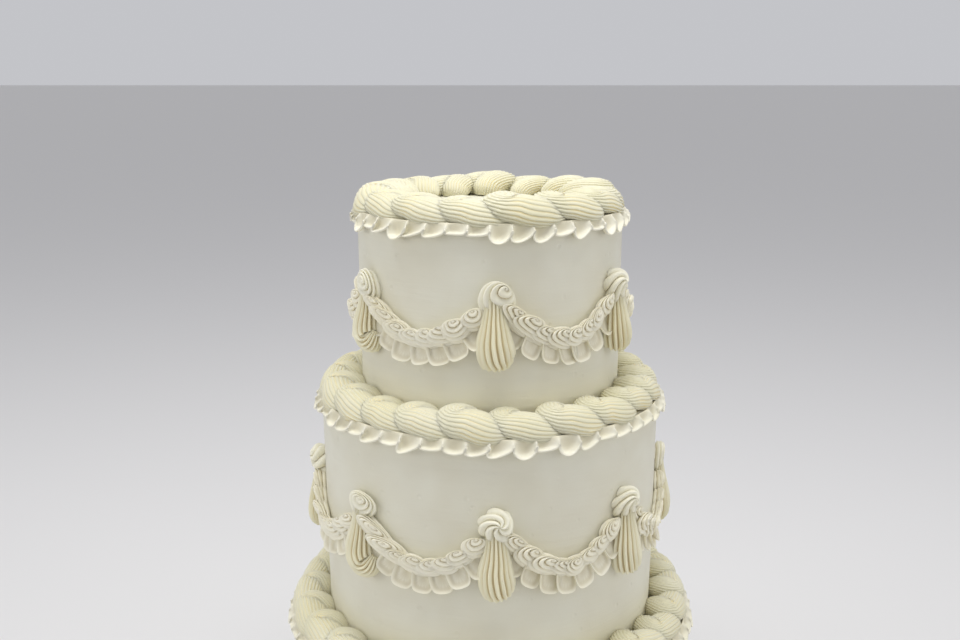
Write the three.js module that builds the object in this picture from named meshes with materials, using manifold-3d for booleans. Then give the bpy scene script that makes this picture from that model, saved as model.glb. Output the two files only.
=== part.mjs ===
// Tiered wedding cake: three round tiers coated in smooth buttercream and stacked without pillars.
// Each tier wears a border of piped shells on its rim, a ruffle under the shells, and round its
// side a garland of swags caught up at fluted drops, each topped with a small rosette. A last
// shell border runs round the foot of the bottom tier.
//
// Millimetres. +Z is up, the front is -Y, and the origin is the middle of the base on the table.
// Places round the cake are angles from the front, growing toward +X, so they run anticlockwise
// as seen from above.

import * as THREE from 'three';
import { LoftGeometry } from 'three/addons/geometries/LoftGeometry.js';
import { mergeVertices } from 'three/addons/utils/BufferGeometryUtils.js';
import Module from 'manifold-3d';

// The tiers, from the bottom up. Radii are to the face of the icing. The depths of a drape are
// below the middle of its rosettes: the swag's rope where it starts and where it hangs lowest,
// and the tip of the drop.
const SHORT_DRAPE = { rosetteBelowRim: 39, swagEnd: 7.5, swagLow: 21.8, dropLength: 36.3 };
const LONG_DRAPE = { rosetteBelowRim: 46.7, swagEnd: 9.5, swagLow: 27, dropLength: 41.7 };
const TIERS = [
  { name: 'bottom', radius: 127, height: 140, shells: 27, ruffles: 66, swags: 10, drape: LONG_DRAPE },
  { name: 'middle', radius: 104, height: 143, shells: 22, ruffles: 53, swags: 8, drape: LONG_DRAPE },
  { name: 'top', radius: 79, height: 112, shells: 15, ruffles: 43, swags: 6, drape: SHORT_DRAPE },
];
const TIER_FACETS = 48;

const CLEARANCE = 0.3; // between pieces that lie against each other
const SIDE_CLEARANCE = 0.9; // between a drop of middling size and the swags beside it

// Shell border. Each shell is a fat comma that starts at the inner side, rolls over the rim and
// thins to a tail that the next shell covers.
const SHELL_WIDTH = 25;
const SHELL_HEIGHT = 14.5;
const SHELL_OVERHANG = 0.8; // of the fattest part, past the tier's side
const SHELL_LEAN = -0.35; // of the outer edge along the border, in shell spacings
const BASE_SHELLS = 29;
const BASE_SHELL_WIDTH = 20;
const BASE_SHELL_HEIGHT = 17;

// Ruffle: a ribbon in pleats, wrapped round the tier just under the shells.
const RUFFLE_TOP = 0.8; // above the tier's top
const RUFFLE_DROP = 7.6; // from the tier's top down to the tips
const RUFFLE_REACH = 3.6;
const RUFFLE_FOLD_REACH = 1.2;
const RUFFLE_FOLD_DROP = 4.2;
const RUFFLE_LEAN = 0.12; // of the tips against the roots, in pleat spacings

// Garland.
const ROSETTE_RADIUS = 9.8;
const ROSETTE_REACH = 9;
const ROSETTE_RIDGES = 7;
const DROP_HALF_WIDTH = 9.7;
const DROP_REACH = 12.5;
const DROP_RIDGES = 5;
const FLUTE_DEPTH = 1.6;
const SWAG_START = 8; // from the drop's middle line to the rope's end
const ROPE_RADIUS = 5.9;
const ROPE_REACH = 8;
const PETAL_LENGTH = 10.4; // below the rope
const PETAL_THICKNESS = 2.4;
const STROKES = 7; // of the rope, and petals under it, in one swag
const BETWEEN_STROKES = 0.8; // of the rope's thickness
const BETWEEN_PETALS = 0.66; // of the petal's length
const SWAG_LEAN = 0.55; // of the strokes and petals, as a share of the rope's slope
const DROP_TURN = 1.7; // degrees from the front to the first drop

// How uneven the piping is, as a share of each size.
const SHELL_UNEVEN = 0.05;
const RUFFLE_UNEVEN = 0.14;
const SWAG_UNEVEN = 0.07;
const DROP_UNEVEN = 0.03;
const SEED = 11;

const IVORY = 0xe9e4c9;
const PALE_IVORY = 0xefeddc;
const CREAM = 0xe3dab4;

THREE.MathUtils.seededRandom(SEED);
const wasm = await Module();
wasm.setup();

// 1, more or less, by up to the given share.
function about(share) {
  return 1 + share * (2 * THREE.MathUtils.seededRandom() - 1);
}

function buttercream(colour) {
  return new THREE.MeshStandardMaterial({ color: colour, roughness: 0.55, metalness: 0 });
}

function polar(radius, angle, z) {
  return new THREE.Vector3(radius * Math.sin(angle), -radius * Math.cos(angle), z);
}

function asSolid(geometry) {
  const bare = new THREE.BufferGeometry();
  bare.setAttribute('position', geometry.getAttribute('position'));
  bare.setIndex(geometry.index);
  const merged = mergeVertices(bare, 1e-3);
  return new wasm.Manifold(new wasm.Mesh({
    numProp: 3,
    vertProperties: merged.attributes.position.array,
    triVerts: new Uint32Array(merged.index.array),
  }));
}

// Two closed geometries joined into one body.
function joined(first, second) {
  const mesh = asSolid(first).add(asSolid(second)).getMesh();
  const geometry = new THREE.BufferGeometry();
  geometry.setAttribute('position', new THREE.BufferAttribute(mesh.vertProperties, 3));
  geometry.setIndex(new THREE.BufferAttribute(mesh.triVerts, 1));
  geometry.computeVertexNormals();
  return geometry;
}

// One iced cake: a plain drum.
function tierGeometry(radius, height) {
  const profile = [
    new THREE.Vector2(0, 0),
    new THREE.Vector2(radius, 0),
    new THREE.Vector2(radius, height),
    new THREE.Vector2(0, height),
  ];
  return new THREE.LatheGeometry(profile, TIER_FACETS).rotateX(Math.PI / 2);
}

// A loft right round the cake, closed by its first section.
function ringGeometry(sections) {
  return new LoftGeometry([...sections, sections[0]]);
}

// A border of shells between two radii. Along each shell the section swells fast at the head and
// sinks slowly to the tail: place is the share of the spacing, rise the share of the height, and
// pinch how far both edges draw in.
function shellBorder(count, innerRadius, width, height, z) {
  const stages = [
    { place: 0, rise: 0.64, pinch: 0.12 },
    { place: 0.24, rise: 1, pinch: 0 },
    { place: 0.62, rise: 0.9, pinch: 0.02 },
  ];
  const outline = [
    { across: 0, up: 0 },
    { across: 0.02, up: 0.5 },
    { across: 0.22, up: 0.93 },
    { across: 0.55, up: 1 },
    { across: 0.87, up: 0.74 },
    { across: 1, up: 0.34 },
    { across: 0.93, up: 0 },
  ];
  const spacing = 2 * Math.PI / count;
  const sections = [];
  for (let shell = 0; shell < count; shell++) {
    const size = about(SHELL_UNEVEN);
    const shift = about(SHELL_UNEVEN) - 1;
    for (const { place, rise, pinch } of stages) {
      const section = outline.map(({ across, up }) => {
        const drawnIn = THREE.MathUtils.lerp(pinch * 0.4, 1 - pinch, across);
        const angle = (shell + place + shift + SHELL_LEAN * across) * spacing;
        return polar(innerRadius + width * drawnIn, angle, z + height * rise * size * up);
      });
      sections.push(section);
    }
  }
  return ringGeometry(sections);
}

// The ruffle: a wedge against the side whose outer and lower edge runs out and in with the pleats.
function ruffleGeometry(count, radius, top) {
  const spacing = 2 * Math.PI / count;
  const wall = radius + CLEARANCE;
  const sections = [];
  for (let pleat = 0; pleat < count; pleat++) {
    const size = about(RUFFLE_UNEVEN);
    const lean = RUFFLE_LEAN * about(1);
    const folds = [
      { place: 0, reach: RUFFLE_FOLD_REACH, drop: RUFFLE_FOLD_DROP, lip: 0.45 },
      { place: 0.42, reach: RUFFLE_REACH * size, drop: RUFFLE_DROP * size, lip: 0.72 },
    ];
    for (const { place, reach, drop, lip } of folds) {
      const angle = (pleat + place) * spacing;
      const tip = angle - lean * spacing;
      sections.push([
        polar(wall, tip, top - drop),
        polar(wall, angle, top + RUFFLE_TOP),
        polar(wall + reach, tip, top - drop * lip),
      ]);
    }
  }
  return ringGeometry(sections);
}

// The drop's half width and how far it stands out, at some depths below the rosette's middle.
function dropShape(length) {
  const share = [0.12, 0.4, 0.68, 0.9, 1];
  const wide = [0.52, 0.72, 0.98, 0.86, 0.34];
  const out = [0.5, 0.76, 1, 0.82, 0.3];
  return share.map((part, i) => ({
    depth: part * length,
    halfWidth: wide[i] * DROP_HALF_WIDTH,
    reach: out[i] * DROP_REACH,
  }));
}

// A fluted drop under its rosette, against the plane y = 0, with the rosette's middle at z = 0.
function dropGeometry(length) {
  const points = 2 * DROP_RIDGES - 1;
  const sections = dropShape(length).reverse().map(({ depth, halfWidth, reach }) => {
    const section = [];
    for (let i = 0; i < points; i++) {
      const turn = Math.PI * i / (points - 1);
      const groove = i % 2 === 1 ? 1 - FLUTE_DEPTH / DROP_REACH : 1;
      const x = -halfWidth * Math.cos(turn) * groove;
      const y = -reach * Math.sin(turn) * groove;
      section.push(new THREE.Vector3(x, y, -depth));
    }
    return section;
  });
  const drop = new LoftGeometry(sections, { capStart: true, capEnd: true });
  return joined(drop, rosetteGeometry());
}

// A rosette: a low dome of turning ridges that wind in to a point above the middle.
function rosetteGeometry() {
  const stages = [
    { out: 0, size: 0.8, turn: 0, rise: 0 },
    { out: 0.45, size: 1, turn: 0.3, rise: 0 },
    { out: 0.85, size: 0.68, turn: 0.75, rise: 0.04 },
    { out: 1, size: 0.26, turn: 1.2, rise: 0.12 },
  ];
  const sections = stages.map(({ out, size, turn, rise }) => {
    const section = [];
    for (let i = 0; i < ROSETTE_RIDGES; i++) {
      const angle = 2 * Math.PI * (i + turn) / ROSETTE_RIDGES;
      const x = ROSETTE_RADIUS * size * Math.cos(angle);
      const z = ROSETTE_RADIUS * (size * Math.sin(angle) + rise);
      section.push(new THREE.Vector3(x, -ROSETTE_REACH * out, z));
    }
    return section;
  });
  return new LoftGeometry(sections, { capStart: true, capEnd: true });
}

// How far from the drop's middle line a swag must stay at a depth below the rosette's middle.
function besideDrop(depth, length) {
  const besideRosette = Math.sqrt(Math.max(0, (ROSETTE_RADIUS + SIDE_CLEARANCE) ** 2 - depth ** 2));
  const stages = dropShape(length);
  let besideFlutes = 0;
  for (let i = 1; i < stages.length; i++) {
    const low = stages[i];
    const high = stages[i - 1];
    if (depth >= high.depth && depth <= low.depth) {
      const part = (depth - high.depth) / (low.depth - high.depth);
      besideFlutes = THREE.MathUtils.lerp(high.halfWidth, low.halfWidth, part) + SIDE_CLEARANCE;
    }
  }
  return Math.max(besideRosette, besideFlutes);
}

// One swag: a rope of overlapping strokes with a frill of rounded petals hanging under it. It
// bends round the tier's side, from the drop at angle 0 to the next at the given span.
function swagGeometry(radius, span, drape) {
  const wall = radius + CLEARANCE;
  const reachAlong = span * wall / 2;
  const fall = drape.swagLow - drape.swagEnd;
  const steps = 2 * STROKES;
  const sections = [];
  for (let step = 0; step <= steps; step++) {
    const isPeak = step % 2 === 1;
    const along = 2 * step / steps - 1;
    const middle = along * (reachAlong - SWAG_START);
    const depth = drape.swagLow - fall * along ** 2;
    const tilt = SWAG_LEAN * Math.atan(2 * along * fall / (reachAlong - SWAG_START));
    const rope = (isPeak ? 1 : BETWEEN_STROKES) * about(SWAG_UNEVEN);
    const petal = (isPeak ? 1 : BETWEEN_PETALS) * PETAL_LENGTH * about(SWAG_UNEVEN);
    const outline = [
      { up: -ROPE_RADIUS - petal, out: 0 },
      { up: ROPE_RADIUS * rope, out: 0 },
      { up: 0.55 * ROPE_RADIUS * rope, out: ROPE_REACH * rope },
      { up: -0.75 * ROPE_RADIUS, out: 0.95 * ROPE_REACH * rope },
      { up: -ROPE_RADIUS - petal, out: (isPeak ? 1 : BETWEEN_PETALS) * PETAL_THICKNESS },
    ];
    const section = outline.map(({ up, out }) => {
      const low = depth - up * Math.cos(tilt);
      const limit = reachAlong - besideDrop(low, drape.dropLength);
      const arc = THREE.MathUtils.clamp(middle - up * Math.sin(tilt), -limit, limit);
      return polar(wall + out, span / 2 + arc / wall, -low);
    });
    sections.push(section);
  }
  return new LoftGeometry(sections, { capStart: true, capEnd: true });
}

function named(name, geometry, colour) {
  const mesh = new THREE.Mesh(geometry, buttercream(colour));
  mesh.name = name;
  return mesh;
}

// Everything on one tier, with the tier's foot at z = 0 of its own group.
function buildTier(tier, shellInner) {
  const { name, radius, height, shells, ruffles, swags, drape } = tier;
  const group = new THREE.Group();
  group.add(named(name + '_tier', tierGeometry(radius, height), IVORY));

  const shellWidth = radius + SHELL_OVERHANG - shellInner;
  const border = shellBorder(shells, shellInner, shellWidth, SHELL_HEIGHT, height);
  group.add(named(name + '_shell_border', border, CREAM));
  group.add(named(name + '_ruffle', ruffleGeometry(ruffles, radius, height), PALE_IVORY));

  const span = 2 * Math.PI / swags;
  const garland = new THREE.Group();
  garland.position.z = height - drape.rosetteBelowRim;
  for (let i = 0; i < swags; i++) {
    const angle = THREE.MathUtils.degToRad(DROP_TURN) + i * span;
    const number = String(i + 1).padStart(2, '0');

    const swagMesh = named(name + '_swag_' + number, swagGeometry(radius, span, drape), IVORY);
    swagMesh.rotation.z = angle;

    const drop = dropGeometry(drape.dropLength);
    const dropMesh = named(name + '_drop_' + number, drop, CREAM);
    dropMesh.position.copy(polar(radius + CLEARANCE, angle, 0));
    dropMesh.rotation.z = angle;
    dropMesh.scale.setScalar(about(DROP_UNEVEN));
    garland.add(swagMesh, dropMesh);
  }
  group.add(garland);
  return group;
}

const cake = new THREE.Group();
let foot = 0;
TIERS.forEach((tier, i) => {
  const above = TIERS[i + 1];
  const shellInner = above ? above.radius + CLEARANCE : tier.radius - SHELL_WIDTH;
  const group = buildTier(tier, shellInner);
  group.position.z = foot;
  cake.add(group);
  foot += tier.height;
});

const baseInner = TIERS[0].radius + CLEARANCE;
const baseBorder = shellBorder(BASE_SHELLS, baseInner, BASE_SHELL_WIDTH, BASE_SHELL_HEIGHT, 0);
cake.add(named('base_shell_border', baseBorder, CREAM));

export default cake;
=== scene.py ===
# A three-tier wedding cake piped in ivory buttercream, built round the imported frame.
import bpy, math, random
import numpy as np
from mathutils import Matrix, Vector


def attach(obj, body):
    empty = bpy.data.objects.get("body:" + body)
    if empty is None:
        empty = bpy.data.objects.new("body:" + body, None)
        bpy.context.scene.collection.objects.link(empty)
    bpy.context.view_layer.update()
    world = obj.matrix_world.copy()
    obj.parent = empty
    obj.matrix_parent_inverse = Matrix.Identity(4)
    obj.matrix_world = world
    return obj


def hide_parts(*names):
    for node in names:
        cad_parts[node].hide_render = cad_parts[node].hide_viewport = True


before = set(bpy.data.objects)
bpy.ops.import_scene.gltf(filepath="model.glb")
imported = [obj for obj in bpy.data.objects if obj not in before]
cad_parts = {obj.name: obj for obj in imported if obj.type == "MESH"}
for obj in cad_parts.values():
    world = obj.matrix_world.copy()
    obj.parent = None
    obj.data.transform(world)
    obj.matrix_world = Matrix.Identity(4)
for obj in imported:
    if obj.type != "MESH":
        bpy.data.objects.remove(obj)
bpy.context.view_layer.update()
print("frame loaded")

# sizes are in millimetres and angles in degrees. The studio at the end is in metres
mm = 0.001
fullGroove = 0.35       # a hollow this deep gets all of its painted shading: a yellower colour, darker on most pieces, standing in for the shade and bounced light in hollows
roll = random.Random(21)


def pickOnly(*objs):
    bpy.ops.object.select_all(action="DESELECT")
    for o in objs:
        o.select_set(True)
    bpy.context.view_layer.objects.active = objs[0]


def addNew(operator, **settings):
    bpy.ops.object.select_all(action="DESELECT")
    operator(**settings)
    return bpy.context.object


def places(piece):
    co = np.empty(len(piece.data.vertices) * 3)
    piece.data.vertices.foreach_get("co", co)
    return co.reshape(-1, 3)


def setPlaces(piece, co):
    piece.data.vertices.foreach_set("co", np.ascontiguousarray(co, dtype=float).ravel())
    piece.data.update()


def jitter(share):
    return 1 + share * roll.uniform(-1, 1)


def wander(reach):
    return roll.uniform(-reach, reach)


def finishMesh(piece, crease=60, merge=0.02, close=True):
    # weld the caps and seams, close what is open and turn every face outwards
    pickOnly(piece)
    bpy.ops.object.mode_set(mode="EDIT")
    bpy.ops.mesh.select_all(action="SELECT")
    bpy.ops.mesh.remove_doubles(threshold=merge * mm)
    if close:
        bpy.ops.mesh.fill_holes(sides=0)
    bpy.ops.mesh.normals_make_consistent(inside=False)
    bpy.ops.object.mode_set(mode="OBJECT")
    bpy.ops.object.shade_smooth_by_angle(angle=math.radians(crease))


def addModifier(piece, kind, **settings):
    pickOnly(piece)
    modifier = piece.modifiers.new(kind.title(), kind)
    for name, value in settings.items():
        setattr(modifier, name, value)
    bpy.ops.object.modifier_apply(modifier=modifier.name)


def layRound(piece, radius, angle, height, lying):
    # x runs along the border. A lying piece has y inwards and z up, one on the wall y up and z out
    co = places(piece)
    out, up = (-co[:, 1], co[:, 2]) if lying else (co[:, 2], co[:, 1])
    turn = angle + co[:, 0] / radius
    reach = radius + out
    setPlaces(piece, np.column_stack([reach * np.sin(turn), -reach * np.cos(turn), height + up]))


def hang(piece, x0, y0, turn):
    # turned flat on the wall and moved to its place there
    co = places(piece)
    setPlaces(piece, np.column_stack([x0 * mm + co[:, 0] * math.cos(turn) - co[:, 1] * math.sin(turn),
                                      y0 * mm + co[:, 0] * math.sin(turn) + co[:, 1] * math.cos(turn),
                                      co[:, 2]]))


def markGrooves(piece):
    # how deep each point lies under its neighbours, which sets the painted shade in the hollows of the icing
    mesh = piece.data
    co = places(piece)
    normal = np.empty(len(mesh.vertices) * 3)
    mesh.vertices.foreach_get("normal", normal)
    normal = normal.reshape(-1, 3)
    ends = np.empty(len(mesh.edges) * 2, dtype=int)
    mesh.edges.foreach_get("vertices", ends)
    a, b = ends.reshape(-1, 2).T
    depth, links = np.zeros(len(co)), np.zeros(len(co))
    for one, other in ((a, b), (b, a)):
        np.add.at(depth, one, ((co[other] - co[one]) * normal[one]).sum(axis=1))
        np.add.at(links, one, 1)
    groove = mesh.attributes.new("groove", "FLOAT", "POINT")
    groove.data.foreach_set("value", depth / np.maximum(links, 1) / mm)


def setPaintedShading(piece, share):
    # a painted shade or glow share, written over the measured groove depth
    piece.data.attributes["groove"].data.foreach_set("value", fullGroove * share)


def joinAll(name, parts):
    pickOnly(*parts)
    if len(parts) > 1:
        bpy.ops.object.join()
    piece = bpy.context.object
    piece.name = piece.data.name = name
    markGrooves(piece)
    return piece


def unevenness(name, size):
    texture = bpy.data.textures.new(name, "CLOUDS")
    texture.noise_scale = size * mm
    texture.noise_depth = 1
    return texture


def roughen(piece, texture, strength):
    addModifier(piece, "DISPLACE", texture=texture, texture_coords="GLOBAL", strength=strength * mm,
                mid_level=0.5)


softLumps = unevenness("softLumps", 26)
slowWaves = unevenness("slowWaves", 70)

tips = {
    "points": 4,        # to each tooth: the notch, a shoulder on either side of it and the crest
    "shoulder": 0.3,    # how far the shoulders go in, as a share of the notch
    "kept": 3,          # one point in this many teeth stays on the bare side
    "shell": {"teeth": 28, "depth": 0.072, "bare": 100},
    "drop": {"teeth": 17, "depth": 0.26, "bare": 130},
}


def starTip(name, shape):
    # the opening of a star tip: a ring with a notch between the teeth, apart from its underside,
    # which lies on the cake and is bare
    points, depth = tips["points"], shape["depth"]
    tip = addNew(bpy.ops.mesh.primitive_circle_add, vertices=shape["teeth"] * points, radius=1)
    tip.name = name
    for inward, at in ((depth, (0,)), (tips["shoulder"] * depth, (1, 3))):
        for e in tip.data.edges:
            e.select = False
        for v in tip.data.vertices:
            v.select = v.index % points in at
        bpy.ops.object.mode_set(mode="EDIT")
        bpy.ops.mesh.select_mode(type="VERT")
        bpy.ops.transform.resize(value=(1 - inward, 1 - inward, 1 - inward))
        bpy.ops.object.mode_set(mode="OBJECT")
    for v in tip.data.vertices:
        below = abs(math.degrees(math.atan2(v.co.x, -v.co.y)))
        v.select = below < shape["bare"] / 2 and v.index % (tips["kept"] * points) != 1
    bpy.ops.object.mode_set(mode="EDIT")
    bpy.ops.mesh.dissolve_verts()
    bpy.ops.object.mode_set(mode="OBJECT")
    bpy.ops.object.convert(target="CURVE")
    return bpy.context.object


def pipe(name, strokes, tip, steps):
    # each stroke is a list of x, y, z, radius and turn
    piped = addNew(bpy.ops.curve.primitive_nurbs_path_add)
    piped.name = name
    curve = piped.data
    curve.splines.clear()
    for stroke in strokes:
        spline = curve.splines.new("NURBS")
        spline.points.add(len(stroke) - 1)
        for point, (x, y, z, radius, turn) in zip(spline.points, stroke):
            point.co = (x * mm, y * mm, z * mm, 1)
            point.radius = radius * mm
            point.tilt = math.radians(turn)
        spline.order_u = 3
        spline.use_endpoint_u = True
        spline.resolution_u = steps
    curve.twist_mode = "Z_UP"
    curve.bevel_mode = "OBJECT"
    curve.bevel_object = tip
    curve.use_fill_caps = True
    pickOnly(piped)
    bpy.ops.object.convert(target="MESH")
    return bpy.context.object


shellTip = starTip("shellTip", tips["shell"])
dropTip = starTip("dropTip", tips["drop"])
print("star tips cut")

tiers = [
    {"name": "bottom", "radius": 127, "height": 140, "foot": 0, "shellInner": 104.3, "shells": 27,
     "ruffles": 66, "swags": 10, "rosetteBelow": 46.7, "swagEnd": 11, "swagLow": 31, "dropLength": 41.7,
     "curled": (3, 6, 9), "arcs": (0, 2, 3, 6, 9)},
    {"name": "middle", "radius": 104, "height": 143, "foot": 140, "shellInner": 79.3, "shells": 22,
     "ruffles": 53, "swags": 8, "rosetteBelow": 46.7, "swagEnd": 11, "swagLow": 31, "dropLength": 41.7,
     "curled": (4, 7), "arcs": (2, 5, 7)},
    {"name": "top", "radius": 79, "height": 112, "foot": 283, "shellInner": 49.5, "shells": 15,
     "ruffles": 43, "swags": 6, "rosetteBelow": 39, "swagEnd": 9, "swagLow": 26, "dropLength": 36.3,
     "curled": (2, 5), "arcs": (0, 2, 3, 5)},
]

drum = {
    "sides": 160, "topRings": 6, "edgeRings": 4, "sideRings": 14,
    "pole": 1.5,        # radius of the first disc
    "edge": 3,          # rounding of the rims
    "wave": 0.9,        # how much the smooth icing wanders
    "glow": 26,         # height of the painted glow at the foot: a lighter butter-yellow standing in for light bounced up from the shells below
}


def makeTier(tier):
    # a small disc at the middle of the top, pulled out over the rim, down the side and in again
    radius, height, foot = tier["radius"], tier["height"], tier["foot"]
    edge, pole, crown = drum["edge"], drum["pole"], foot + height
    topRings, edgeRings, sideRings = drum["topRings"], drum["edgeRings"], drum["sideRings"]
    corner = [math.radians(90 / edgeRings * i) for i in range(1, edgeRings + 1)]
    across, down = radius - edge - pole, height - 2 * edge
    rings = [(pole + across * i / topRings, crown) for i in range(1, topRings + 1)]
    rings += [(radius - edge + edge * math.sin(a), crown - edge + edge * math.cos(a)) for a in corner]
    rings += [(radius, crown - edge - down * i / sideRings) for i in range(1, sideRings + 1)]
    rings += [(radius - edge + edge * math.cos(a), foot + edge - edge * math.sin(a)) for a in corner]
    rings += [(radius / 2, foot), (pole, foot)]
    piece = addNew(bpy.ops.mesh.primitive_circle_add, vertices=drum["sides"], radius=pole * mm,
                   fill_type="NGON", location=(0, 0, crown * mm))
    bpy.ops.object.transform_apply(location=True, rotation=False, scale=False)
    bpy.ops.object.mode_set(mode="EDIT")
    bpy.ops.mesh.select_all(action="SELECT")
    wide, high = pole, crown
    for ringRadius, z in rings:
        bpy.ops.mesh.extrude_region_move(TRANSFORM_OT_translate={"value": (0, 0, (z - high) * mm)})
        bpy.ops.transform.resize(value=(ringRadius / wide, ringRadius / wide, 1))
        wide, high = ringRadius, z
    bpy.ops.object.mode_set(mode="OBJECT")
    finishMesh(piece)
    roughen(piece, slowWaves, drum["wave"])
    co = places(piece)
    co[:, 2] = np.maximum(co[:, 2], 0)
    setPlaces(piece, co)
    joinAll(tier["name"] + "Icing", [piece])
    # painted glow: lighter and yellower towards the foot of the tier, in place of light bounced up from the
    # shells
    setPaintedShading(piece, np.clip((drum["glow"] - (co[:, 2] / mm - foot)) / drum["glow"], 0, 1))
    return piece


shell = {
    # along, out, up and radius, from the buried head over the crown to the tail
    "path": [
        (3.0, 4.0, -1.0, 6.5),
        (2.2, 5.0, 2.5, 9.4),
        (0.0, 6.4, 6.8, 10.6),
        (-3.6, 9.0, 10.4, 10.4),
        (-6.0, 12.6, 10.6, 10.2),
        (-4.6, 14.6, 9.2, 10.7),
        (1.4, 14.8, 8.2, 11.2),
        (8.0, 15.6, 6.4, 11.2),
        (14.4, 16.4, 4.4, 10.2),
        (20.0, 17.0, 2.4, 8.4),
        (26.0, 17.4, 0.8, 4.8),
    ],
    "spacing": 27, "width": 25.5, "height": 14.5,       # what the path is drawn for
    "steps": 3,
    "uneven": 0.08, "shift": 1.8, "twist": 20, "lift": 0.8,     # from one shell to the next
    "swell": 0.03, "drift": 0.4,                        # within a shell
    "lumps": 1.2,
    "flat": 0.68,                   # the round strokes settle to low, broad ones
    "rim": 6.5, "sag": 0.066,       # and hang over the rim, from this far inside their outer edge
}
footBorder = {"shells": 29, "inner": 127.3, "width": 20, "height": 17}


def makeBorder(name, count, inner, width, height, z, standing=False):
    middle = inner + width / 2
    spacing = 2 * math.pi * middle / count
    along, across, up = spacing / shell["spacing"], width / shell["width"], height / shell["height"]
    strokes = []
    for i in range(count):
        size, shift = jitter(shell["uneven"]), wander(shell["shift"])
        twist = wander(shell["twist"])
        lift = wander(shell["lift"])
        stroke = []
        for x, out, high, radius in shell["path"]:
            stroke.append((
                (i + 0.5) * spacing + shift + x * along * jitter(shell["swell"]),
                width / 2 - out * across - wander(shell["drift"]),
                (high * size + lift) * across,
                radius * size * across * jitter(shell["swell"]),
                twist))
        strokes.append(stroke)
    piece = pipe(name, strokes, shellTip, shell["steps"])
    finishMesh(piece)
    co = places(piece)
    co[:, 2] *= shell["flat"] * up / across
    if not standing:
        over = np.clip((shell["rim"] - width / 2) * mm - co[:, 1], 0, None) / mm
        co[:, 2] -= shell["sag"] * over ** 2 * mm
    setPlaces(piece, co)
    layRound(piece, middle * mm, 0, z * mm, lying=True)
    roughen(piece, softLumps, shell["lumps"])
    if standing:
        co = places(piece)
        co[:, 2] = np.maximum(co[:, 2], z * mm)
        setPlaces(piece, co)
    return joinAll(name, [piece])


ruffle = {
    "columns": 16, "rows": 6,       # faces of a pleat, along and down
    "thick": 1.7, "thin": 0.5,      # the rim, and the share of it that the top edge has
    "top": 0.4,                     # height of the top edge over the rim of the tier
    "fold": 4.6, "foldTop": 0.3, "notch": 3.8,          # folds: out below, out above, and down
    "reach": 5.0, "reachTop": 0.2, "drop": 8.1,         # bellies: out below, out above, and down
    "curl": 4,                      # how late the bellies swing out and thicken
    "bend": 0.98,                   # share of a quarter turn that they make on the way down
    "full": 0.85,                   # under 1 widens the bellies
    "open": 0.22,                   # how far the folds lie back under the bellies
    "lean": 0.12, "skew": 0.1875, "shift": 0.1, "uneven": 0.3,
    "hollow": 2.6,                  # painted shade: the colour is darker and yellower up to here from the wall, where the cups lie in shadow
}


def makeRuffle(tier):
    count, radius = tier["ruffles"], tier["radius"]
    spacing = 2 * math.pi * radius / count
    sizes = [jitter(ruffle["uneven"]) for _ in range(count)]
    leans = [ruffle["lean"] * jitter(1) for _ in range(count)]
    shifts = [wander(ruffle["shift"]) for _ in range(count)]
    skews = [1 - ruffle["skew"] * jitter(1) for _ in range(count)]
    piece = addNew(bpy.ops.mesh.primitive_grid_add, x_subdivisions=ruffle["columns"] * count,
                   y_subdivisions=ruffle["rows"], size=1)
    co = places(piece)
    along = (co[:, 0] + 0.5) * count
    down = np.clip(0.5 - co[:, 1], 0, 1)
    pleat = np.clip(np.floor(along + 1e-9).astype(int), 0, count) % count
    part = np.clip(along - np.floor(along + 1e-9), 0, 1)
    # leaf-shaped pleats, lowest left of their middle
    lobe = part ** np.array(skews)[pleat]
    # sizes run smoothly from one pleat to the next
    belly = 0.5 - 0.5 * np.cos(2 * np.pi * lobe)
    size = 1 + (np.array(sizes)[pleat] - 1) * belly
    lean = np.array(leans)[pleat] * belly
    shift = np.array(shifts)[pleat] * belly
    x = (along - ruffle["open"] * down * np.sin(2 * np.pi * part) - lean * down + shift) * spacing
    foldOut = ruffle["foldTop"] + (ruffle["fold"] - ruffle["foldTop"]) * down
    bellyOut = ruffle["reachTop"] + (ruffle["reach"] - ruffle["reachTop"]) * size * down ** ruffle["curl"]
    foldUp = ruffle["top"] - ruffle["notch"] * down
    bellyUp = ruffle["top"] - ruffle["drop"] * size * np.sin(np.pi / 2 * down * ruffle["bend"])
    out = foldOut + (bellyOut - foldOut) * belly
    up = foldUp + (bellyUp - foldUp) * belly ** ruffle["full"]
    setPlaces(piece, np.column_stack([x, up, out]) * mm)
    rim = piece.vertex_groups.new(name="rim")
    for i, share in enumerate(down):
        rim.add([i], ruffle["thin"] + (1 - ruffle["thin"]) * float(share) ** ruffle["curl"], "REPLACE")
    layRound(piece, radius * mm, 0, (tier["foot"] + tier["height"]) * mm, lying=False)
    finishMesh(piece, close=False)
    addModifier(piece, "SOLIDIFY", thickness=ruffle["thick"] * mm, offset=0, use_rim=True,
                vertex_group="rim")
    addModifier(piece, "SUBSURF", levels=1, render_levels=1)
    finishMesh(piece)
    joinAll(tier["name"] + "Ruffle", [piece])
    # painted shade in the hollows of the ruffle, near the wall
    co = places(piece) / mm
    off = np.hypot(co[:, 0], co[:, 1]) - radius
    setPaintedShading(piece, np.clip((ruffle["hollow"] - off) / ruffle["hollow"], 0, 1))
    return piece


swirl = {
    "lap": 0.08, "under": 0.8,      # share past the rim that closes the underside, and its depth
    "crest": 0.65,                  # under 1 makes broad ridges between narrow grooves
    "pace": 0.9,                    # under 1 widens the ridges towards the rim
    "fade": 6, "least": 0.4,        # the groove is shallower at the eye, down to this share
    "waves": ((2, 0.06), (3, 0.05)),        # round the rim: how many and how strong
    "phase": 6,
    "ridgeChange": 0.1, "eyeChange": (0.8, 0.2),
}


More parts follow.
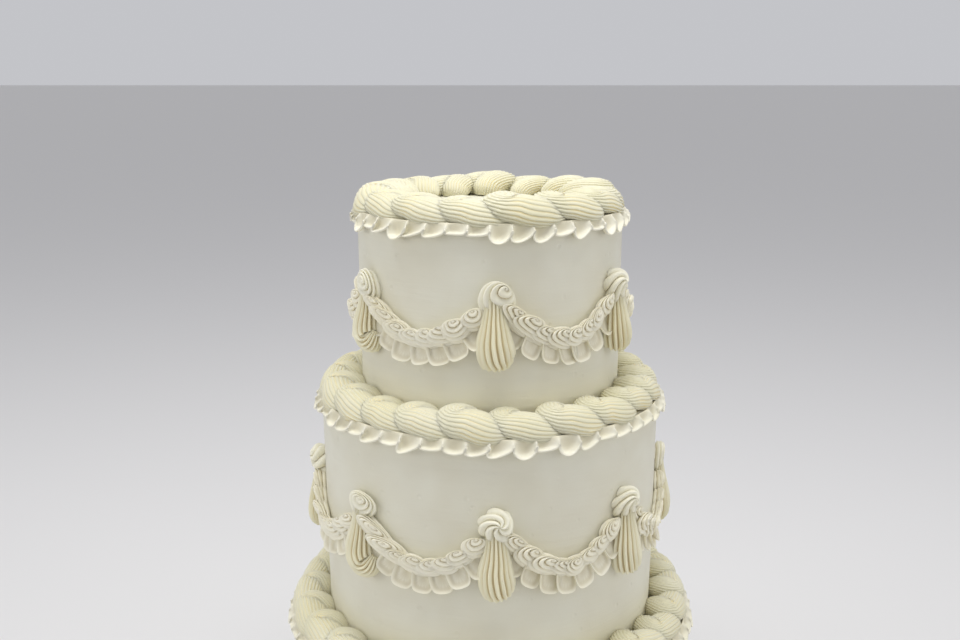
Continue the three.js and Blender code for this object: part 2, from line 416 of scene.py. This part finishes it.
def makeSwirl(shape):
    # a mound of icing with a groove winding down it from an eye above its middle. Flat on the wall:
    # x along, y up, z out
    piece = addNew(bpy.ops.mesh.primitive_uv_sphere_add, segments=shape["segments"],
                   ring_count=shape["rings"], radius=1)
    co = places(piece)
    turn = np.arctan2(co[:, 1], co[:, 0])
    # 0 at the eye, 1 at the rim, beyond it the underside
    along = np.arccos(np.clip(co[:, 2], -1, 1)) / math.pi * (1 + swirl["lap"])
    down = np.minimum(along, 1)
    under = np.clip((along - 1) / swirl["lap"], 0, 1)
    slope = down * math.pi / 2
    size = jitter(shape["uneven"])
    wide, tall, high = (shape[key] * size * jitter(0.5 * shape["uneven"])
                        for key in ("wide", "tall", "high"))
    eyeX, eyeY = (shape["eye"][i] * jitter(swirl["eyeChange"][i]) for i in range(2))
    ridges, start = shape["ridges"] * jitter(swirl["ridgeChange"]), roll.random()
    winding = ridges * down ** swirl["pace"] - shape["arms"] * turn / (2 * math.pi) + start
    ridge = np.abs(np.sin(math.pi * winding)) ** swirl["crest"]
    dip = shape["depth"] * (1 - ridge) * np.clip(down * swirl["fade"], swirl["least"], 1) * (1 - under)
    wave = 1
    for count, strength in swirl["waves"]:
        wave = wave + strength * np.sin(count * turn + roll.uniform(0, swirl["phase"]))
    reach = np.sin(slope) * (1 - under) * wave
    x = eyeX * (1 - down) + (reach * wide - dip * np.sin(slope)) * np.cos(turn)
    y = eyeY * (1 - down) + (reach * tall - dip * np.sin(slope)) * np.sin(turn)
    z = high * np.cos(slope) ** shape["round"] - dip * np.cos(slope) - swirl["under"] * under
    setPlaces(piece, np.column_stack([x, y, z]) * mm)
    finishMesh(piece)
    return piece


swag = {
    # the shape of a stroke
    "wide": 8.8, "tall": 6.3, "high": 8.2, "eye": (1.6, 7.2), "ridges": 5.0, "depth": 2.3, "round": 0.7,
    "arms": 1, "segments": 36, "rings": 34, "uneven": 0.1,
    # their row
    "strokes": 8, "first": 0.9, "start": 6.0, "twist": 9, "drift": 0.6,
    "followDown": 0.85, "followUp": 0.6,
    # where the swag falls a stroke is longer, with its eye further back and lower
    "steep": 1.8, "stretch": 4.4, "eyeShift": (3.2, 0.6),
    # each stroke lies over the end of the one before
    "overlap": 0.035, "overlapFrom": 2,
}
petal = {
    "count": 7, "sides": 20, "width": 13.6, "length": 18, "thick": 3.4, "rim": 1.2, "hollow": 2.0,
    "square": 0.62,                 # 1 is an oval, less has squarer corners
    "below": 5.4, "off": 0.8,       # under the middle of the rope, and off the wall
    "lift": 3.4, "tilt": 0.16, "slant": 0.15,
    "spread": 0.9, "follow": 0.75, "twist": 8, "uneven": 0.1,
    "smaller": 0.2,                 # at the ends of the swag
}


def makePetal():
    # a flat tongue with its face sunk inside a soft rim
    piece = addNew(bpy.ops.mesh.primitive_cylinder_add, vertices=petal["sides"],
                   radius=petal["width"] / 2 * mm, depth=petal["thick"] * mm)
    piece.name = "petal"
    bpy.ops.object.mode_set(mode="EDIT")
    bpy.ops.mesh.select_all(action="SELECT")
    bpy.ops.transform.resize(value=(1, petal["length"] / petal["width"], 1))
    bpy.ops.object.mode_set(mode="OBJECT")
    co = places(piece)
    half = np.array([petal["width"], petal["length"]]) / 2 * mm
    share = co[:, :2] / half
    co[:, :2] = np.sign(share) * np.abs(share) ** petal["square"] * half
    setPlaces(piece, co)
    bpy.ops.object.mode_set(mode="EDIT")
    bpy.ops.mesh.select_mode(type="FACE")
    bpy.ops.mesh.select_all(action="DESELECT")
    bpy.ops.object.mode_set(mode="OBJECT")
    for f in piece.data.polygons:
        f.select = f.normal.z > 0.9
    bpy.ops.object.mode_set(mode="EDIT")
    bpy.ops.mesh.inset(thickness=0.5 * petal["rim"] * mm)
    bpy.ops.mesh.inset(thickness=petal["rim"] * mm)
    bpy.ops.transform.translate(value=(0, 0, -petal["hollow"] * mm))
    bpy.ops.mesh.inset(thickness=petal["rim"] * mm)
    bpy.ops.object.mode_set(mode="OBJECT")
    addModifier(piece, "SUBSURF", levels=1, render_levels=1)
    finishMesh(piece)
    return piece


def swagLine(tier, along):
    # middle of the rope and its slope, at -1 to 1 along the swag
    half = math.pi * tier["radius"] / tier["swags"] - swag["start"]
    fall = tier["swagLow"] - tier["swagEnd"]
    return along * half, -(tier["swagLow"] - fall * along ** 2), math.atan(2 * fall * along / half)


def makeStroke(tier, i):
    x0, y0, slope = swagLine(tier, (2 * i + swag["first"]) / swag["strokes"] - 1)
    follow = swag["followDown"] if slope < 0 else swag["followUp"]
    turn = slope * follow + math.radians(wander(swag["twist"]))
    # the ridges run along the swag where it falls, and round like cups where it rises
    falling = min(max(-swag["steep"] * slope, 0), 1)
    eye = [at - shift * falling for at, shift in zip(swag["eye"], swag["eyeShift"])]
    stroke = makeSwirl(dict(swag, wide=swag["wide"] + swag["stretch"] * falling, eye=eye))
    co = places(stroke)
    co[:, 2] *= 1 - swag["overlap"] * (co[:, 0] / mm + swag["overlapFrom"])
    setPlaces(stroke, co)
    hang(stroke, x0, y0 + wander(swag["drift"]), turn)
    return stroke


def hangPetal(tier, i, petalShape):
    # it hangs from the rope and lifts off the wall at its tip
    share = petal["spread"] * ((2 * i + 1) / petal["count"] - 1)
    x0, y0, slope = swagLine(tier, share)
    turn = petal["follow"] * slope + math.radians(wander(petal["twist"]))
    piece = petalShape.copy()
    piece.data = petalShape.data.copy()
    bpy.context.collection.objects.link(piece)
    co = places(piece) / mm
    size = jitter(petal["uneven"]) * (1 - petal["smaller"] * share ** 4)
    x, y, z = co[:, 0] * size, co[:, 1] * size, co[:, 2]
    lift = np.clip((petal["length"] / 2 - y) / petal["length"], 0, 1)
    z = z + petal["off"] + petal["lift"] * lift ** 2 - petal["tilt"] * x
    y = y - petal["below"] + petal["slant"] * x * wander(1)
    setPlaces(piece, np.column_stack([x, y, z]) * mm)
    hang(piece, x0, y0, turn)
    return piece


def makeSwag(tier, number, angle, petalShape):
    parts = [makeStroke(tier, i) for i in range(swag["strokes"])]
    parts += [hangPetal(tier, i, petalShape) for i in range(petal["count"])]
    whole = joinAll(tier["name"] + "Swag" + number, parts)
    top = tier["foot"] + tier["height"] - tier["rosetteBelow"]
    layRound(whole, tier["radius"] * mm, angle, top * mm, lying=False)
    return whole


drop = {
    # along, share of the length, out and radius, from the broad end up to the rosette
    "straight": [
        (2.4, 1.00, 2.2, 6.6),
        (2.2, 0.985, 2.6, 8.6),
        (1.6, 0.94, 2.9, 9.9),
        (0.6, 0.84, 3.0, 10.4),
        (-0.2, 0.68, 2.9, 9.8),
        (0.0, 0.50, 2.7, 8.3),
        (0.0, 0.34, 2.4, 6.8),
        (0.0, 0.18, 2.1, 5.7),
        (0.0, 0.02, 1.8, 5.2),
    ],
    # the end swept up to the right
    "curled": [
        (8.2, 0.72, 1.8, 3.4),
        (7.8, 0.78, 2.4, 5.4),
        (6.0, 0.86, 2.8, 7.2),
        (3.0, 0.88, 2.9, 8.8),
        (0.4, 0.82, 3.0, 9.6),
        (-1.0, 0.71, 3.0, 9.6),
        (-0.8, 0.57, 2.9, 8.8),
        (0.0, 0.42, 2.7, 7.4),
        (0.0, 0.26, 2.4, 6.0),
        (0.0, 0.02, 1.8, 5.2),
    ],
    "steps": 5, "hook": (0.8, 1.15), "drift": 0.2, "uneven": 0.03, "twist": 10,
}
rosette = {
    # nested arcs round an eye above the middle
    "arcs": {"wide": 10.4, "tall": 9.4, "high": 9.0, "eye": (3.2, 7.6), "ridges": 4.6, "depth": 2.9,
             "round": 0.7, "segments": 56, "rings": 56, "uneven": 0.06, "arms": 1},
    # a pinwheel of thick arms
    "wheel": {"wide": 10.4, "tall": 9.8, "high": 10.4, "eye": (1.4, 4.0), "ridges": 2.1, "depth": 3.0,
              "round": 0.8, "segments": 84, "rings": 52, "uneven": 0.06, "arms": 6},
    "spin": 30, "lower": 2.4,
}


def makeRosette(arcs):
    spin = math.radians(wander(1) * rosette["spin"])
    piece = makeSwirl(rosette["arcs" if arcs else "wheel"])
    hang(piece, 0, -rosette["lower"], spin)
    return piece


def makeDrop(tier, i, number, angle):
    length = tier["dropLength"]
    path = drop["curled" if i in tier["curled"] else "straight"]
    hook = roll.uniform(*drop["hook"])
    size = jitter(drop["uneven"])
    twist = wander(drop["twist"])
    stroke = [(x * hook + wander(drop["drift"]), -share * length, z, radius * size, twist)
              for x, share, z, radius in path]
    body = pipe("drop", [stroke], dropTip, drop["steps"])
    finishMesh(body)
    rose = makeRosette(i in tier["arcs"])
    body.data.materials.append(icing["drop"])
    rose.data.materials.append(icing["rosette"])
    whole = joinAll(tier["name"] + "Drop" + number, [body, rose])
    top = tier["foot"] + tier["height"] - tier["rosetteBelow"]
    layRound(whole, tier["radius"] * mm, angle, top * mm, lying=False)
    return whole


class Wire:
    # a socket, with which shader maths is written as plain sums
    def __init__(self, tree, socket=None):
        self.tree, self.socket = tree, socket

    def node(self, kind, settings=None, sockets=None, out=0):
        made = self.tree.nodes.new("ShaderNode" + kind)
        for name, value in (settings or {}).items():
            setattr(made, name, value)
        for name, value in (sockets or {}).items():
            if isinstance(value, Wire):
                self.tree.links.new(value.socket, made.inputs[name])
            else:
                made.inputs[name].default_value = value
        return Wire(self.tree, made.outputs[out])

    def sum(self, operation, *values):
        return self.node("Math", {"operation": operation}, dict(enumerate(values)))

    def __add__(self, other):
        return self.sum("ADD", self, other)

    def __radd__(self, other):
        return self.sum("ADD", other, self)

    def __mul__(self, other):
        return self.sum("MULTIPLY", self, other)

    def __rmul__(self, other):
        return self.sum("MULTIPLY", other, self)


cream = {
    "blotch": 28.0, "blotchEdge": (0.35, 0.65),     # scale of the mix of pale and deep, and its edge
    "fine": 900.0, "shineSpread": 0.06,             # scale of the grain, which moves the roughness too
    "paintedShadingMost": 0.7,                                 # share of the painted shading colour in a full groove
    "combed": 22.0, "combedFlat": 14,               # streaks of the palette knife, level and long
    "pits": 95.0, "pitEdge": (0.04, 0.16),
    "scatter": (1.0, 0.97, 0.94), "scatterScale": 0.004,
    "ior": 1.45, "specular": 0.4,
}
plainLook = {"streaks": 0.0, "pits": 0.0, "soft": 0.25, "full": fullGroove}
# one buttercream in six copies, each made lighter or darker and yellower or paler to match how brightly its
# part is lit: painted light and shade. The third colour of each is its painted shading colour
looks = {
    "smooth": {"pale": (0.78, 0.76, 0.64, 1), "deep": (0.74, 0.71, 0.58, 1),
               "paintedShadingColour": (1.0, 0.95, 0.72, 1), "roughness": 0.5, "grain": 0.05, "streaks": 0.25, "pits": 0.24},
    "shell": {"pale": (0.735, 0.705, 0.535, 1), "deep": (0.70, 0.665, 0.47, 1),
              "paintedShadingColour": (0.90, 0.79, 0.47, 1), "roughness": 0.52, "grain": 0.06, "soft": 0.4, "full": 0.2},
    "ruffle": {"pale": (0.83, 0.795, 0.655, 1), "deep": (0.80, 0.765, 0.605, 1),
               "paintedShadingColour": (0.72, 0.64, 0.42, 1), "roughness": 0.42, "grain": 0.05},
    "swag": {"pale": (0.925, 0.885, 0.725, 1), "deep": (0.895, 0.845, 0.665, 1),
             "paintedShadingColour": (0.56, 0.48, 0.29, 1), "roughness": 0.44, "grain": 0.06, "full": 0.2},
    "rosette": {"pale": (0.90, 0.87, 0.71, 1), "deep": (0.86, 0.82, 0.65, 1),
                "paintedShadingColour": (0.60, 0.50, 0.31, 1), "roughness": 0.44, "grain": 0.06, "full": 0.3},
    "drop": {"pale": (0.84, 0.80, 0.60, 1), "deep": (0.80, 0.75, 0.53, 1),
             "paintedShadingColour": (0.64, 0.53, 0.31, 1), "roughness": 0.46, "grain": 0.06},
}


def buttercream(name, look):
    material = bpy.data.materials.new(name)
    material.use_nodes = True
    tree = material.node_tree
    tree.nodes.clear()
    wire = Wire(tree)
    spot = wire.node("TexCoord", out="Object")
    blotch = wire.node("TexNoise", sockets={"Vector": spot, "Scale": cream["blotch"], "Detail": 2.0})
    fine = wire.node("TexNoise", sockets={"Vector": spot, "Scale": cream["fine"], "Detail": 3.0})
    low, high = cream["blotchEdge"]
    mask = wire.node("MapRange", sockets={"Value": blotch, "From Min": low, "From Max": high})
    colour = wire.node("Mix", {"data_type": "RGBA"},
                       {"Factor": mask, 6: look["pale"], 7: look["deep"]}, out=2)
    # painted shade: a yellower colour in the grooves and hollows, and a painted glow at the foot of each
    # tier, standing in for shade and bounced light
    groove = wire.node("Attribute", {"attribute_name": "groove"}, out=2)
    paintedShading = wire.node("MapRange", sockets={"Value": groove, "From Min": 0.0, "From Max": look["full"],
                                            "To Max": cream["paintedShadingMost"]})
    colour = wire.node("Mix", {"data_type": "RGBA"},
                       {"Factor": paintedShading, 6: colour, 7: look["paintedShadingColour"]}, out=2)
    height = fine * look["grain"]
    if look["streaks"]:
        level = wire.node("Mapping", sockets={"Vector": spot, "Scale": (1, 1, cream["combedFlat"])})
        combed = wire.node("TexNoise", sockets={"Vector": level, "Scale": cream["combed"], "Detail": 3.0})
        height = height + combed * look["streaks"]
    if look["pits"]:
        cells = wire.node("TexVoronoi", sockets={"Vector": spot, "Scale": cream["pits"]})
        low, high = cream["pitEdge"]
        hole = wire.node("MapRange", sockets={"Value": cells, "From Min": low, "From Max": high})
        height = height + hole * look["pits"]
    bump = wire.node("Bump", sockets={"Strength": 1.0, "Distance": mm, "Height": height})
    shine = wire.node("MapRange", sockets={"Value": fine, "To Min": look["roughness"] - cream["shineSpread"],
                                           "To Max": look["roughness"] + cream["shineSpread"]})
    skin = wire.node("BsdfPrincipled", {"subsurface_method": "RANDOM_WALK"}, {
        "Base Color": colour, "Roughness": shine, "Normal": bump, "IOR": cream["ior"],
        "Subsurface Weight": look["soft"], "Subsurface Radius": cream["scatter"],
        "Subsurface Scale": cream["scatterScale"], "Specular IOR Level": cream["specular"]})
    out = tree.nodes.new("ShaderNodeOutputMaterial")
    tree.links.new(skin.socket, out.inputs["Surface"])
    return material


icing = {name: buttercream(name + "Icing", dict(plainLook, **look)) for name, look in looks.items()}
print("buttercream mixed")


def place(piece, node, material):
    if material:
        piece.data.materials.append(material)
    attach(piece, "root")
    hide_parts(node)


cake = {
    "overhang": 0.8,        # of the shells past the side of their tier
    "firstDrop": 1.7,       # of every tier, to the right of the middle
}

petalShape = makePetal()
for tier in tiers:
    name = tier["name"]
    place(makeTier(tier), name + "_tier", icing["smooth"])
    width = tier["radius"] + cake["overhang"] - tier["shellInner"]
    place(makeBorder(name + "Shells", tier["shells"], tier["shellInner"], width, shell["height"],
                     tier["foot"] + tier["height"]), name + "_shell_border", icing["shell"])
    place(makeRuffle(tier), name + "_ruffle", icing["ruffle"])
    span = 2 * math.pi / tier["swags"]
    for i in range(tier["swags"]):
        number = f"{i + 1:02d}"
        angle = math.radians(cake["firstDrop"]) + i * span
        place(makeSwag(tier, number, angle + span / 2, petalShape), f"{name}_swag_{number}", icing["swag"])
        # the drop and its rosette have their icing already
        place(makeDrop(tier, i, number, angle), f"{name}_drop_{number}", None)
    print(name, "tier piped")
place(makeBorder("baseShells", footBorder["shells"], footBorder["inner"], footBorder["width"],
                 footBorder["height"], 0, standing=True), "base_shell_border", icing["shell"])
for spare in (petalShape, shellTip, dropTip):
    bpy.data.objects.remove(spare)
print("foot border piped")

studio = {
    "floorSize": 60, "floorColour": (0.74, 0.73, 0.72, 1), "floorRoughness": 0.8,
    # place, aim, size and power in watts
    "lights": {
        "overhead": ((0.0, -0.15, 1.5), (0, 0, 0.3), 0.8, 12),
        "leftFill": ((-1.9, -0.6, 0.8), (0, 0, 0.28), 1.0, 6.5),
        "rightFill": ((1.9, -0.6, 0.8), (0, 0, 0.28), 1.0, 5),
    },
    "sky": (0.945, 0.955, 1.0, 1), "skyStrength": 0.58,
}

floor = addNew(bpy.ops.mesh.primitive_plane_add, size=studio["floorSize"])
floor.name = "floor"
paint = bpy.data.materials.new("paleFloor")
paint.use_nodes = True
coat = paint.node_tree.nodes["Principled BSDF"].inputs
coat["Base Color"].default_value = studio["floorColour"]
coat["Roughness"].default_value = studio["floorRoughness"]
floor.data.materials.append(paint)

for name, (at, aim, size, power) in studio["lights"].items():
    lamp = addNew(bpy.ops.object.light_add, type="AREA", location=at)
    lamp.name = name
    lamp.data.shape = "SQUARE"
    lamp.data.size = size
    lamp.data.energy = power
    lamp.rotation_euler = (Vector(aim) - Vector(at)).to_track_quat("-Z", "Y").to_euler()

world = bpy.data.worlds.new("studio")
world.use_nodes = True
sky = world.node_tree.nodes["Background"].inputs
sky["Color"].default_value = studio["sky"]
sky["Strength"].default_value = studio["skyStrength"]
bpy.context.scene.world = world
bpy.context.scene.view_settings.view_transform = "Standard"
print("floor and lights set")

view = {
    "at": (0, -0.6430, 0.4747), "down": 15.704, "lens": 40.08, "sensor": 36,
    "shift": (-10 / 960, 0.05),         # shares of the frame's width
}

camera = addNew(bpy.ops.object.camera_add, location=view["at"],
                rotation=(math.radians(90 - view["down"]), 0, 0))
camera.data.lens = view["lens"]
camera.data.sensor_width = view["sensor"]
camera.data.shift_x, camera.data.shift_y = view["shift"]
bpy.context.scene.camera = camera
print("camera set")
